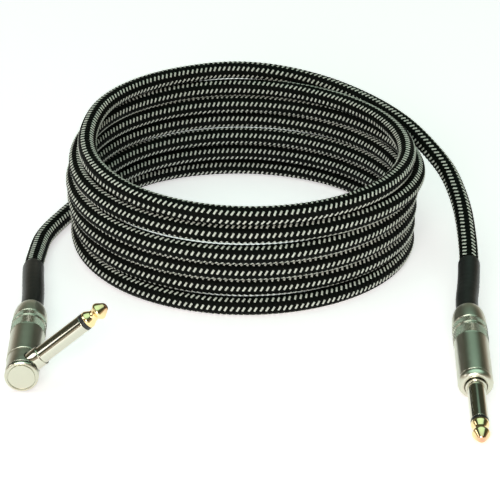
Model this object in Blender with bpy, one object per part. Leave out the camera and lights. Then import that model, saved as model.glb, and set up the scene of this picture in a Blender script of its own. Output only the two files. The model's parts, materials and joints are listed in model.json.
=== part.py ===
"""Instrument cable: a woven-jacket cord with a straight and a right-angle 6.35 mm plug.

Metres, +Z up. The origin is on the floor, midway between the two plugs. The cord lies
in a round coil behind them, and each plug comes apart the way the real one does: the
shell unscrews from the plug's front, and the gland nut unscrews from the shell.
"""
import math

import bmesh
import bpy
import numpy as np
from mathutils import Matrix, Vector

# ---- cord ----
CORD_R = 0.0037
COIL_CENTRE = Vector((-0.00333, 0.10009, 0.0))
COIL_R = 0.0666
COIL_TURN_RISE = 0.00753
COIL_LAYERS = 7
COIL_SLACK = 0.0005
COIL_ROUNDING = 0.003

# ---- standard contact shaft, measured from its shoulder ----
SHAFT_LENGTH = 0.0301
SHAFT_R = 0.003175
SHOULDER_R = 0.00375
TIP_LENGTH = 0.0088
TIP_RING_LENGTH = 0.0011
TIP_WIDEST_R = 0.00315
TIP_WIDEST_FROM_END = 0.0034
ROD_R = 0.001

# ---- body shared by both plugs ----
GAP = 0.0003
SHELL_R = 0.00625
KNURL_R = 0.0065
SHELL_BORE_R = 0.0056
SHELL_KNURL_LENGTH = 0.0062
NUT_KNURL_LENGTH = 0.0035
NUT_LENGTH = 0.01345
NUT_RIM_R = 0.00485
NUT_GAP = 0.0004
SPIGOT_R = 0.00535
SHELL_THREAD = 0.0047
NUT_THREAD = 0.0042
LINER_BORE_R = 0.00485
SLEEVE_R = 0.0042
CHUCK_R = 0.00455
CABLE_FRONT = 0.0077

# ---- straight plug ----
FLANGE_R = 0.0063
FLANGE_EDGE = 0.0022
FLANGE_BACK = 0.0026
STRAIGHT_SHELL_FRONT = 0.0029
STRAIGHT_SHELL_LENGTH = 0.0284
STRAIGHT_HEADING = math.radians(-1.77)
STRAIGHT_SHOULDER = Vector((0.08325, -0.12965, 0.0))
STRAIGHT_SLEEVE_LENGTH = 0.033

# ---- right-angle plug, measured from where its two axes cross ----
ELBOW_R = 0.006
ELBOW_FRONT = 0.0042
ELBOW_BACK = 0.0052
ELBOW_BORE_R = 0.0046
ANGLE_SHELL_FRONT = 0.0055
ANGLE_SHELL_LENGTH = 0.0243
ANGLE_SHOULDER = 0.0091
ANGLE_CROSSING = Vector((-0.07589, -0.1223, KNURL_R))
ANGLE_HEADING = math.radians(2.3)
ANGLE_SHAFT_RAISED = math.radians(40.0)
ANGLE_SLEEVE_LENGTH = 0.038

# ---- facets ----
ROUND = 24
SMALL_ROUND = 16
WIRE_ROUND = 10
CORD_BEVEL_RESOLUTION = 3
CORD_STEP = 0.017
SLEEVE_STEP = 0.006

# ---- where the two loose ends of the cord run, from the coil's axis, plug to coil ----
STRAIGHT_ROUTE = (
    (0.0867, -0.0595, 0.0138),
    (0.0880, -0.0477, 0.0162),
    (0.0886, -0.0333, 0.0198),
    (0.0881, -0.0196, 0.0234),
    (0.0864, -0.0078, 0.0268),
    (0.0831, 0.0050, 0.0304),
    (0.0782, 0.0150, 0.0336),
    (0.0698, 0.0298, 0.0374),
)
ANGLE_ROUTE = (
    (-0.0799, -0.0520, 0.0062),
    (-0.0812, -0.0370, 0.0052),
    (-0.0812, -0.0245, 0.0043),
    (-0.0806, -0.0120, 0.0038),
    (-0.0782, -0.0015, 0.0037),
    (-0.0747, 0.0080, 0.0037),
)


# ---- shared helpers ----

def clear_scene():
    """Remove whatever the new file holds."""
    for old in list(bpy.data.objects):
        bpy.data.objects.remove(old, do_unlink=True)


def material(name, color, roughness, metallic):
    """A plain Principled finish."""
    made = bpy.data.materials.new(name)
    made.use_nodes = True
    shader = made.node_tree.nodes["Principled BSDF"]
    shader.inputs["Base Color"].default_value = (*color, 1.0)
    shader.inputs["Roughness"].default_value = roughness
    shader.inputs["Metallic"].default_value = metallic
    made.diffuse_color = (*color, 1.0)
    return made


def finishes():
    """Every finish on the object, by name."""
    return {
        "gold": material("gold", (0.83, 0.62, 0.27), 0.16, 1.0),
        "bright_nickel": material("bright_nickel", (0.78, 0.77, 0.73), 0.12, 1.0),
        "satin_nickel": material("satin_nickel", (0.56, 0.55, 0.51), 0.36, 1.0),
        "black_insulator": material("black_insulator", (0.02, 0.02, 0.02), 0.3, 0.0),
        "liner_plastic": material("liner_plastic", (0.75, 0.74, 0.7), 0.45, 0.0),
        "copper": material("copper", (0.72, 0.36, 0.2), 0.35, 1.0),
        "core_plastic": material("core_plastic", (0.85, 0.85, 0.82), 0.5, 0.0),
        "shrink_rubber": material("shrink_rubber", (0.018, 0.018, 0.018), 0.45, 0.0),
        "woven_jacket": material("woven_jacket", (0.03, 0.03, 0.03), 0.8, 0.0),
    }


def add_object(name, data, finish, parent=None):
    """Link an object and give it its finish and its parent's frame."""
    made = bpy.data.objects.new(name, data)
    bpy.context.scene.collection.objects.link(made)
    data.materials.append(finish)
    made.parent = parent
    return made


def mesh_from(bm, name):
    """Close a bmesh into a mesh with outward faces and smooth round sides."""
    bmesh.ops.recalc_face_normals(bm, faces=bm.faces)
    mesh = bpy.data.meshes.new(name)
    bm.to_mesh(mesh)
    bm.free()
    mesh.shade_smooth()
    mesh.set_sharp_from_angle(angle=math.radians(35.0))
    return mesh


def turned(name, outline, finish, parent, facets=ROUND):
    """A lathe piece about local Z: a closed outline of (radius, height) points."""
    bm = bmesh.new()
    points = [bm.verts.new((radius, 0.0, height)) for radius, height in outline]
    edges = [bm.edges.new(pair) for pair in zip(points, points[1:])]
    if outline[0][0] > 0.0:
        edges.append(bm.edges.new((points[-1], points[0])))
    bmesh.ops.spin(bm, geom=points + edges, axis=(0, 0, 1), cent=(0, 0, 0),
                   steps=facets, angle=math.tau, use_merge=False)
    bmesh.ops.remove_doubles(bm, verts=bm.verts, dist=1e-6)
    bmesh.ops.dissolve_degenerate(bm, edges=bm.edges, dist=1e-7)
    return add_object(name, mesh_from(bm, name), finish, parent)


def tube(name, inner_r, outer_r, low, high, finish, parent, facets=ROUND):
    """A straight tube about local Z."""
    outline = ((outer_r, high), (outer_r, low), (inner_r, low), (inner_r, high))
    return turned(name, outline, finish, parent, facets)


def pin(name, radius, low, high, finish, parent, facets=SMALL_ROUND):
    """A plain round pin about local Z."""
    outline = ((0.0, high), (radius, high), (radius, low), (0.0, low))
    return turned(name, outline, finish, parent, facets)


def block(name, low, high, finish, parent):
    """A box between two corners."""
    low, high = Vector(low), Vector(high)
    bm = bmesh.new()
    bmesh.ops.create_cube(bm, size=1.0)
    bmesh.ops.scale(bm, vec=high - low, verts=bm.verts)
    bmesh.ops.translate(bm, vec=(high + low) / 2, verts=bm.verts)
    return add_object(name, mesh_from(bm, name), finish, parent)


def combine(target, helper, operation):
    """Join a hidden helper to the target, or cut it out."""
    helper.hide_render = True
    helper.display_type = "WIRE"
    modifier = target.modifiers.new(helper.name, "BOOLEAN")
    modifier.operation = operation
    modifier.solver = "EXACT"
    modifier.object = helper


def frame_empty(name, place, x_axis, z_axis):
    """An empty at a plug's reference point: local Z runs back along the body."""
    made = bpy.data.objects.new(name, None)
    bpy.context.scene.collection.objects.link(made)
    z_axis = z_axis.normalized()
    x_axis = (x_axis - z_axis * x_axis.dot(z_axis)).normalized()
    turn = Matrix((x_axis, z_axis.cross(x_axis), z_axis)).transposed()
    made.matrix_world = Matrix.Translation(place) @ turn.to_4x4()
    return made


def smooth_route(points, step):
    """Evenly spaced points on a smooth curve through the given ones."""
    knots = np.array([tuple(point) for point in points])
    padded = np.vstack((2 * knots[0] - knots[1], knots, 2 * knots[-1] - knots[-2]))
    fine = []
    for before, start, end, after in zip(padded, padded[1:], padded[2:], padded[3:]):
        for t in np.linspace(0.0, 1.0, 24, endpoint=False):
            bend = 2 * before - 5 * start + 4 * end - after
            twist = -before + 3 * start - 3 * end + after
            fine.append(start + 0.5 * t * ((end - before) + t * (bend + t * twist)))
    fine.append(knots[-1])
    fine = np.array(fine)
    along = np.concatenate(([0.0], np.cumsum(np.linalg.norm(np.diff(fine, axis=0), axis=1))))
    stations = np.linspace(0.0, along[-1], max(2, round(along[-1] / step) + 1))
    return [Vector([np.interp(s, along, fine[:, k]) for k in range(3)]) for s in stations]


# ---- contact shaft ----

def tip_outline(end, rod_end):
    """The gold tip with its detent neck, and the rod that runs back from it."""
    nose = [(0.0, end), (0.0008, end), (0.0014, end + 0.0003)]
    crown = [(0.0029, end + 0.0026), (TIP_WIDEST_R, end + TIP_WIDEST_FROM_END)]
    neck = [(0.0024, end + 0.0046), (0.0021, end + 0.0054), (0.00215, end + 0.0062)]
    flare = [(0.0030, end + 0.0077), (TIP_WIDEST_R, end + 0.0081)]
    rod = [(TIP_WIDEST_R, end + TIP_LENGTH), (ROD_R, end + TIP_LENGTH), (ROD_R, rod_end), (0.0, rod_end)]
    return (nose + crown + neck + flare + rod)[::-1]


def contact_shaft(prefix, parent, finish, sleeve_back, shoulder_depth, rod_end):
    """Tip, insulators and sleeve. The shoulder is at local height 0, the tip below it."""
    end = -SHAFT_LENGTH
    ring_low = end + TIP_LENGTH + GAP / 3
    ring_high = ring_low + TIP_RING_LENGTH
    sleeve_low = ring_high + GAP / 3
    turned(prefix + "tip_rod", tip_outline(end, rod_end), finish["gold"], parent, SMALL_ROUND)
    tube(prefix + "tip_insulator", ROD_R + GAP, TIP_WIDEST_R, ring_low, ring_high,
         finish["black_insulator"], parent, SMALL_ROUND)
    tube(prefix + "rod_insulator", ROD_R + GAP, 0.0019, sleeve_low, sleeve_back - 0.0005,
         finish["black_insulator"], parent, SMALL_ROUND)
    step_low, step_high = shoulder_depth
    outline = [(SHAFT_R, sleeve_low), (0.0022, sleeve_low), (0.0022, sleeve_back),
               (SHAFT_R, sleeve_back)]
    if step_high < sleeve_back:
        outline.append((SHAFT_R, step_high))
        outline.append((SHOULDER_R, step_high))
    else:
        outline[-1] = (SHOULDER_R, sleeve_back)
    outline.append((SHOULDER_R, step_low))
    outline.append((SHAFT_R, step_low))
    turned(prefix + "sleeve", outline, finish["bright_nickel"], parent)


# ---- body, shared by both plugs ----

def shell(prefix, parent, finish, front, back):
    """The barrel with its knurled band, open at both ends."""
    band = back - SHELL_KNURL_LENGTH
    outline = (
        (SHELL_R - 0.0002, front), (SHELL_BORE_R, front), (SHELL_BORE_R, back),
        (KNURL_R - 0.0002, back), (KNURL_R, back - 0.0002), (KNURL_R, band + 0.0002),
        (SHELL_R, band), (SHELL_R, front + 0.0002),
    )
    turned(prefix + "shell", outline, finish["satin_nickel"], parent)


def gland_nut(prefix, parent, finish, front):
    """The knurled, tapered nut at the back, with the spigot that screws into the shell."""
    band = front + NUT_KNURL_LENGTH
    rim = front + NUT_LENGTH
    taper = rim - band
    outline = (
        (KNURL_R - 0.0002, front), (SPIGOT_R, front), (SPIGOT_R, front - NUT_THREAD),
        (0.00475, front - NUT_THREAD), (0.00475, front + 0.005), (0.0045, front + 0.006),
        (0.0045, rim), (NUT_RIM_R, rim), (0.0055, rim - 0.12 * taper),
        (0.0061, rim - 0.38 * taper), (0.00635, rim - 0.7 * taper), (0.0064, band),
        (KNURL_R, band - 0.0002), (KNURL_R, front + 0.0002),
    )
    turned(prefix + "gland_nut", outline, finish["satin_nickel"], parent)


def cable_chuck(prefix, parent, finish, front):
    """The slotted collet that the nut closes on the cord."""
    back = front + 0.0065
    outline = (
        (CHUCK_R - 0.0002, front), (CORD_R + 0.00025, front), (CORD_R + 0.00025, back),
        (CHUCK_R - 0.0003, back), (CHUCK_R, back - 0.0015), (CHUCK_R, front + 0.001),
    )
    collet = turned(prefix + "cable_chuck", outline, finish["black_insulator"], parent)
    for slot in range(2):
        size = Vector((0.006, 0.0004, 0.005))
        if slot:
            size = Vector((0.0004, 0.006, 0.005))
        middle = Vector((0.0, 0.0, front))
        cutter = block(f"{prefix}chuck_slot_{slot}", middle - size, middle + size,
                       finish["black_insulator"], parent)
        combine(collet, cutter, "DIFFERENCE")


def ground_lug(prefix, parent, finish, front, clamp):
    """The solder tag behind the plug's front, with an arm back to the cord clamp."""
    tag = tube(prefix + "ground_lug", 0.0019, 0.0044, front, front + 0.0006,
               finish["bright_nickel"], parent, SMALL_ROUND)
    arm = block(prefix + "lug_arm", (-0.0044, -0.0012, front + 0.0002),
                (-0.0039, 0.0012, clamp + 0.001), finish["bright_nickel"], parent)
    claw = tube(prefix + "lug_claw", CORD_R + 0.00025, 0.00445, clamp, clamp + 0.002,
                finish["bright_nickel"], parent, SMALL_ROUND)
    mouth = block(prefix + "lug_mouth", (0.002, -0.0015, clamp - 0.001),
                  (0.006, 0.0015, clamp + 0.003), finish["bright_nickel"], parent)
    combine(tag, arm, "UNION")
    combine(tag, claw, "UNION")
    combine(tag, mouth, "DIFFERENCE")


def curved_wire(name, points, radius, finish, parent, bevel_resolution):
    """A round wire or cord with closed ends along the given points."""
    curve = bpy.data.curves.new(name, "CURVE")
    curve.dimensions = "3D"
    curve.bevel_depth = radius
    curve.bevel_resolution = bevel_resolution
    curve.use_fill_caps = True
    spline = curve.splines.new("POLY")
    spline.points.add(len(points) - 1)
    for slot, place in zip(spline.points, points):
        slot.co = (*place, 1.0)
    return add_object(name, curve, finish, parent)


def cord_end(prefix, parent, finish, cable, contact):
    """The stripped end: insulated core, its bare conductor and the shield's pigtail."""
    tube(prefix + "core_insulation", 0.00085, 0.0013, cable - 0.006, cable - GAP,
         finish["core_plastic"], parent, WIRE_ROUND)
    pin(prefix + "core_conductor", 0.00055, contact, cable - GAP,
        finish["copper"], parent, WIRE_ROUND)
    drop = [(-0.0024, 0.0, cable - 0.0004), (-0.0026, 0.0, cable - 0.0018),
            (-0.003, 0.0, cable - 0.003), (-0.00305, 0.0, cable - 0.0055)]
    curved_wire(prefix + "shield_pigtail", drop, 0.0005, finish["copper"], parent, 1)


def plug_body(prefix, parent, finish, shell_front, shell_length, tag_front, contact):
    """Everything behind a plug's front. Returns the heights of the cord's end and the rim."""
    shell_back = shell_front + shell_length
    nut_front = shell_back + NUT_GAP
    cable = nut_front - CABLE_FRONT
    shell(prefix, parent, finish, shell_front, shell_back)
    gland_nut(prefix, parent, finish, nut_front)
    tube(prefix + "shell_liner", LINER_BORE_R, SHELL_BORE_R - GAP,
         shell_front + SHELL_THREAD + 0.0006, nut_front - NUT_THREAD - GAP,
         finish["liner_plastic"], parent)
    cable_chuck(prefix, parent, finish, nut_front - NUT_THREAD)
    ground_lug(prefix, parent, finish, tag_front, cable + 0.0006)
    cord_end(prefix, parent, finish, cable, contact)
    return cable, nut_front + NUT_LENGTH


# ---- straight plug ----

def straight_frame():
    """The straight plug lies on its flange and its tip, so it points a little down."""
    reach = SHAFT_LENGTH - TIP_WIDEST_FROM_END + FLANGE_EDGE
    nose_down = math.atan2(FLANGE_R - TIP_WIDEST_R, reach)
    height = FLANGE_R * math.cos(nose_down) - FLANGE_EDGE * math.sin(nose_down)
    level = Vector((-math.sin(STRAIGHT_HEADING), math.cos(STRAIGHT_HEADING), 0.0))
    backwards = level * math.cos(nose_down) + Vector((0.0, 0.0, math.sin(nose_down)))
    sideways = level.cross(Vector((0.0, 0.0, 1.0)))
    place = COIL_CENTRE + STRAIGHT_SHOULDER + Vector((0.0, 0.0, height))
    return frame_empty("straight_plug_frame", place, sideways, backwards)


def plug_base(parent, finish):
    """The domed flange with the threaded spigot that the shell screws onto."""
    spigot = STRAIGHT_SHELL_FRONT + SHELL_THREAD
    outline = (
        (SHAFT_R + GAP, 0.0), (SHAFT_R + GAP, spigot), (SPIGOT_R - 0.0003, spigot),
        (SPIGOT_R, spigot - 0.0003), (SPIGOT_R, FLANGE_BACK), (FLANGE_R, FLANGE_BACK),
        (FLANGE_R, FLANGE_EDGE), (0.0061, 0.0012), (0.0056, 0.0004), (0.0050, 0.0),
    )
    turned("straight_plug_base", outline, finish["bright_nickel"], parent)


def straight_plug(finish):
    """The whole straight plug. Returns its frame and the heights of its cord's end and rim."""
    frame = straight_frame()
    spigot = STRAIGHT_SHELL_FRONT + SHELL_THREAD
    rod_end = spigot + 0.0044
    plug_base(frame, finish)
    contact_shaft("straight_", frame, finish, spigot - GAP, (-0.0009, -0.0003), rod_end)
    tube("straight_rear_washer", ROD_R + GAP, 0.0045, spigot + GAP, spigot + 0.0023,
         finish["black_insulator"], frame, SMALL_ROUND)
    cup = rod_end + GAP
    cup_outline = ((0.0, cup), (0.0017, cup), (0.0017, cup + 0.0052), (0.001, cup + 0.0052),
                   (0.001, cup + 0.0017), (0.0, cup + 0.0017))[::-1]
    turned("straight_solder_cup", cup_outline, finish["gold"], frame, SMALL_ROUND)
    cable, rim = plug_body("straight_", frame, finish, STRAIGHT_SHELL_FRONT,
                           STRAIGHT_SHELL_LENGTH, spigot + 0.0026, cup + 0.0021)
    return frame, cable, rim


# ---- right-angle plug ----

def angle_frames():
    """The right-angle plug's body lies level, with its shaft raised off the floor."""
    backwards = Vector((-math.sin(ANGLE_HEADING), math.cos(ANGLE_HEADING), 0.0))
    level = backwards.cross(Vector((0.0, 0.0, 1.0)))
    along_shaft = level * math.cos(ANGLE_SHAFT_RAISED)
    along_shaft.z = math.sin(ANGLE_SHAFT_RAISED)
    place = COIL_CENTRE + ANGLE_CROSSING
    body = frame_empty("angle_body_frame", place, along_shaft, backwards)
    shoulder = place + along_shaft * ANGLE_SHOULDER
    shaft = frame_empty("angle_shaft_frame", shoulder, backwards, -along_shaft)
    return body, shaft


def elbow_housing(body, shaft, finish):
    """The corner piece: a bored cylinder with a spigot behind and a hole in its side."""
    spigot = ANGLE_SHELL_FRONT + SHELL_THREAD
    outline = (
        (ELBOW_BORE_R, -ELBOW_FRONT), (ELBOW_BORE_R, spigot), (SPIGOT_R - 0.0002, spigot),
        (SPIGOT_R, spigot - 0.0003), (SPIGOT_R, ELBOW_BACK), (ELBOW_R - 0.0002, ELBOW_BACK),
        (ELBOW_R, ELBOW_BACK - 0.0002), (ELBOW_R, -ELBOW_FRONT + 0.0002),
        (ELBOW_R - 0.0002, -ELBOW_FRONT),
    )
    housing = turned("angle_elbow_housing", outline, finish["satin_nickel"], body)
    drill = pin("angle_shaft_drill", SHOULDER_R + GAP, 0.001, ANGLE_SHOULDER - 0.001,
                finish["satin_nickel"], shaft, ROUND)
    combine(housing, drill, "DIFFERENCE")


def end_cap(body, finish):
    """The pressed-in disc that closes the elbow, with its rounded rim."""
    seat = -ELBOW_FRONT - GAP
    outline = (
        (0.0, -ELBOW_FRONT + 0.0012), (0.0041, -ELBOW_FRONT + 0.0012), (0.0041, seat),
        (0.0059, seat), (0.00605, seat - 0.0002), (0.0059, seat - 0.0006),
        (0.0054, seat - 0.0009), (0.0047, seat - 0.001), (0.0, seat - 0.001),
    )
    turned("angle_end_cap", outline, finish["satin_nickel"], body)


def angle_plug(finish):
    """The whole right-angle plug. Returns its frame and its cord's end and rim."""
    body, shaft = angle_frames()
    spigot = ANGLE_SHELL_FRONT + SHELL_THREAD
    elbow_housing(body, shaft, finish)
    end_cap(body, finish)
    sleeve_back = ANGLE_SHOULDER - 0.0045
    rod_end = ANGLE_SHOULDER - 0.0022
    contact_shaft("angle_", shaft, finish, sleeve_back, (0.0, sleeve_back), rod_end)
    pin("angle_tip_lug", 0.0017, rod_end + GAP, ANGLE_SHOULDER + 0.0009,
        finish["gold"], shaft, SMALL_ROUND)
    cable, rim = plug_body("angle_", body, finish, ANGLE_SHELL_FRONT,
                           ANGLE_SHELL_LENGTH, spigot + 0.0003, 0.002)
    return body, cable, rim


# ---- cord ----

def cord_line(frame, cable, rim, sleeve_length, route):
    """The cord's centre line from inside a plug to the coil."""
    straight_until = rim + sleeve_length * 0.33
    heights = np.linspace(cable, straight_until, 4)
    inside = [frame.matrix_world @ Vector((0.0, 0.0, height)) for height in heights]
    return inside + [COIL_CENTRE + Vector(place) for place in route]


def shrink_sleeve(name, line, rim, frame, length, finish):
    """The heat-shrunk tube over the cord, from inside the nut to a clear distance behind."""
    fine = smooth_route(line, SLEEVE_STEP / 6)
    back = frame.matrix_world.inverted()
    first = rim - 0.002
    covered = [place for place in fine if first <= (back @ place).z <= rim + length]
    covered = covered[::6] + [covered[-1]]
    bm = bmesh.new()
    loops = []
    for index, place in enumerate(covered):
        ahead = covered[min(index + 1, len(covered) - 1)]
        behind = covered[max(index - 1, 0)]
        turn = (ahead - behind).to_track_quat("Z", "Y").to_matrix()
        for radius in (SLEEVE_R, CORD_R + 0.0003):
            angles = [math.tau * k / ROUND for k in range(ROUND)]
            around = [turn @ Vector((radius * math.cos(a), radius * math.sin(a), 0.0)) for a in angles]
            loops.append([bm.verts.new(place + offset) for offset in around])
    outer, inner = loops[0::2], loops[1::2]
    strips = list(zip(outer, outer[1:])) + list(zip(inner, inner[1:]))
    strips += [(outer[0], inner[0]), (outer[-1], inner[-1])]
    for one, other in strips:
        for k in range(ROUND):
            after = (k + 1) % ROUND
            bm.faces.new((one[k], one[after], other[after], other[k]))
    add_object(name, mesh_from(bm, name), finish["shrink_rubber"])


def coil_ring(finish):
    """The outer shape of the wound coil: one turned ring with a flat foot."""
    inner = COIL_R - CORD_R - COIL_SLACK
    outer = COIL_R + CORD_R + COIL_SLACK
    top = 2 * CORD_R + (COIL_LAYERS - 1) * COIL_TURN_RISE
    r = COIL_ROUNDING
    outline = (
        (outer - r, 0.0), (outer, r), (outer, top - r), (outer - r, top),
        (inner + r, top), (inner, top - r), (inner, r), (inner + r, 0.0),
    )
    ring = turned("cable_coil", outline, finish["woven_jacket"], None, 2 * ROUND)
    ring.location = COIL_CENTRE


def build():
    """Model the whole cable."""
    clear_scene()
    finish = finishes()
    ends = (
        ("straight", straight_plug(finish), STRAIGHT_SLEEVE_LENGTH, STRAIGHT_ROUTE),
        ("angle", angle_plug(finish), ANGLE_SLEEVE_LENGTH, ANGLE_ROUTE),
    )
    bpy.context.view_layer.update()
    for side, (frame, cable, rim), sleeve_length, route in ends:
        line = cord_line(frame, cable, rim, sleeve_length, route)
        shrink_sleeve(side + "_shrink_sleeve", line, rim, frame, sleeve_length, finish)
        curved_wire("cable_tail_" + side, smooth_route(line, CORD_STEP), CORD_R,
                    finish["woven_jacket"], None, CORD_BEVEL_RESOLUTION)
    coil_ring(finish)


build()
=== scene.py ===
"""A coiled instrument cable with a straight and a right-angle phone plug, dressed round its rigid model."""

import json
import math

import bmesh
import bpy
import numpy as np
from bpy.props import FloatProperty, FloatVectorProperty, IntProperty, PointerProperty
from mathutils import Matrix, Vector

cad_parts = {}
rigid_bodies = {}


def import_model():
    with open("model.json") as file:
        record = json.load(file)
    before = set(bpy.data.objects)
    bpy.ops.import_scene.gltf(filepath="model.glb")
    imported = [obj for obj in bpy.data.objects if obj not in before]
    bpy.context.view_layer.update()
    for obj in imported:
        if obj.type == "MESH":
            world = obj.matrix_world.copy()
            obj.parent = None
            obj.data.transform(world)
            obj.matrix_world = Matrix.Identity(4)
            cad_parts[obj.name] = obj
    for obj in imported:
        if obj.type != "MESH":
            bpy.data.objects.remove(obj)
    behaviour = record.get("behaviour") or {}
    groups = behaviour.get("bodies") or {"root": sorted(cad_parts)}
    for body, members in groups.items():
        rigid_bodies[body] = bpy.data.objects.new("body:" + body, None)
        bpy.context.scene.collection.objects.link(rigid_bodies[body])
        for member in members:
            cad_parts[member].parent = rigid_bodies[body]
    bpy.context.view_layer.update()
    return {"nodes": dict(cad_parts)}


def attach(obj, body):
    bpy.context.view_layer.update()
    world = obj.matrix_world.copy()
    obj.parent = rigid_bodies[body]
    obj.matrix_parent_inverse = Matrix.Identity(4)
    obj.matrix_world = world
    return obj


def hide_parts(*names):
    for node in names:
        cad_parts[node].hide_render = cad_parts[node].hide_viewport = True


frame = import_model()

bl_info = {
    "name": "Instrument Cable",
    "version": (1, 0, 0),
    "blender": (4, 5, 0),
    "location": "View3D > Sidebar > Cable",
    "description": "Builds a coiled, braided instrument cable with its two phone plugs",
    "category": "Object",
}

ROOT = "cable_and_fixed_parts"
FACETS = 96

# ---- where the pieces are, in metres ----
COIL_CENTRE = Vector((-0.00333, 0.10009, 0.0))
STRAIGHT_SHOULDER = Vector((0.07992, -0.02956, 0.00602453))
STRAIGHT_BACK = Vector((0.03070556, 0.99363797, 0.1083548))
ANGLE_CROSSING = Vector((-0.07922, -0.02221, 0.0065))
ANGLE_BACK = Vector((-0.04013179, 0.9991944, 0.0))
ANGLE_SHAFT = Vector((0.76542731, 0.03074274, 0.64278761))
CAMERA_AT = Vector((0.000456, -0.58953, 0.33308))
CAMERA_DOWN = math.radians(26.153)
CAMERA_ROLL = math.radians(0.689)
CAMERA_LENS = 133.4

# ---- the studio's colours, from level to straight up ----
STUDIO_BANDS = ((0.0, (0.8, 0.76, 0.68)), (0.05, (0.50, 0.44, 0.35)), (0.20, (0.42, 0.35, 0.27)),
                (0.31, (0.07, 0.07, 0.045)), (0.76, (0.05, 0.055, 0.04)), (0.84, (0.58, 0.94, 0.78)),
                (1.0, (0.72, 1.12, 0.93)))

# ---- shared body sizes, in metres ----
SPIGOT_R = 0.00535
SHAFT_R = 0.003175
SHAFT_LENGTH = 0.0301
TIP_R = 0.00315
ROD_R = 0.0012
TIP_OUTLINE = ((0.0, 0.0), (0.0005, 0.00002), (0.001, 0.0001), (0.00145, 0.0004), (0.0029, 0.0026),
               (0.00309, 0.003), (TIP_R, 0.0034), (0.00306, 0.0038), (0.0024, 0.0046), (0.00215, 0.005),
               (0.0021, 0.0054), (0.00215, 0.0062), (0.0024, 0.0067), (0.0030, 0.0077), (TIP_R, 0.0081),
               (TIP_R, 0.0089), (ROD_R, 0.0089))
BODIES = {
    "straight": {"shell": 0.0029, "length": 0.0284, "front": 0.0026, "sleeve": 0.033},
    "angle": {"shell": 0.0055, "length": 0.0243, "front": 0.0052, "sleeve": 0.038},
}
NUT_GAP = 0.0004
NUT_LENGTH = 0.01345
NUT_TAPER = ((0.00522, 0.05), (0.0055, 0.12), (0.00583, 0.24), (0.0061, 0.38), (0.00627, 0.55), (0.00635, 0.7))
BAND_LENGTH = 0.0062
KNURL_DEPTH = 0.0003
BAND_LIP = 0.00012
THREAD_DEPTH = 0.0002
BRAID_INSET = 0.00013
BRAID_STATION = 0.0021
CORD_START = 0.0077
SLEEVE_HIDDEN = 0.002
SLEEVE_BORE = 0.00382
SLEEVE_STATIONS = 30
ROW_EASE = 0.22
ROW_TURNS_FROM = {"End From": 2.12, "Tail From": 2.53}

# ---- the cord's route, from the coil's axis, in millimetres ----
LEFT_RUN = ((-79.9, -52, 6.2), (-81.2, -37, 5.2), (-81.2, -24.5, 4.3), (-80.6, -12, 3.8), (-78.2, -1.5, 3.7),
            (-74.3, 9.5, 3.7), (-69, 22, 3.7), (-62, 32, 3.7))
RIGHT_RUN = ((10.7, 70.9, 46.4), (27.9, 68.7, 43.9), (38.6, 63.9, 42.4), (50.2, 55.0, 40.8), (60.9, 42.8, 39.4),
             (69.8, 29.8, 37.4), (78.2, 15.0, 33.6), (83.1, 5.0, 30.4), (86.4, -7.8, 26.8), (88.1, -19.6, 23.4),
             (88.6, -33.3, 19.8), (88.3, -47.7, 16.4), (87.3, -59.5, 14.1), (86.0, -69.5, 12.6))
TURN_STEPS = (0, 90, 180, 215, 245, 270, 300, 320)
TURN_HEIGHTS = ((3.7, 3.7, 3.7, 3.9, 5.0, 6.8, 9.6, 10.8), (11.2, 11.1, 10.8, 11.1, 12.4, 14.2, 17.0, 18.1),
                (18.7, 18.5, 18.2, 18.5, 19.9, 21.7, 24.3, 25.3), (25.8, 25.9, 25.6, 26.0, 27.4, 29.1, 31.6, 32.6),
                (33.2, 33.1, 33.0, 33.5, 34.9, 36.5, 38.7, 39.5), (40.2, 40.2, 40.4, 41.0, 42.5, 44.1, 46.2, 46.8))
TURN_RADII = ((66.4, 67.5, 66.85, 66.5, 66.2, 66.0, 65.6, 65.4), (65.1, 67.5, 64.15, 64.8, 65.8, 66.2, 65.6, 65.2),
              (64.7, 67.8, 65.7, 66.2, 66.9, 67.1, 67.2, 67.2), (67.2, 68.0, 67.4, 67.5, 67.5, 67.4, 67.0, 66.7),
              (66.3, 70.5, 64.85, 65.2, 65.8, 66.1, 66.9, 67.4), (68.1, 66.5, 64.85, 63.6, 62.6, 62.2, 65.2, 67.6))


# ---- settings that a user would change ----

class CordSettings(bpy.types.PropertyGroup):
    """Sizes and colours of the braided cord."""
    diameter: FloatProperty(name="Diameter", description="Thickness over the braid", default=0.0074, unit="LENGTH")
    rows: IntProperty(name="Rows", description="Rows of silver flecks round the cord", default=6, min=3, max=12)
    pitch: FloatProperty(name="Pitch", description="Distance between flecks along the cord", default=0.00215,
                         unit="LENGTH")
    fleck_length: FloatProperty(name="Fleck length", description="Length of one fleck of silver yarn",
                                default=0.0023, unit="LENGTH")
    fleck_width: FloatProperty(name="Fleck width", description="Width of one fleck of silver yarn",
                               default=0.00094, unit="LENGTH")
    lean: FloatProperty(name="Lean", description="Turn of the yarn from the cord's own line",
                        default=math.radians(-61.0), subtype="ANGLE")
    twist: FloatProperty(name="Twist", description="Slow turn of the rows in each metre of cord",
                         default=2.6, subtype="ANGLE")
    end_turn: FloatProperty(name="End turn", description="Extra turn of the rows near the straight plug",
                            default=0.42, subtype="ANGLE")
    tail_turn: FloatProperty(name="Tail turn", description="Extra turn of the rows on the straight plug's loose end",
                             default=0.45, subtype="ANGLE")
    silver: FloatVectorProperty(name="Silver yarn", description="Colour of the light yarn", subtype="COLOR",
                                default=(0.62, 0.63, 0.57))
    black: FloatVectorProperty(name="Black yarn", description="Colour of the dark yarn", subtype="COLOR",
                               default=(0.0035, 0.0042, 0.0035))


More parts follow.
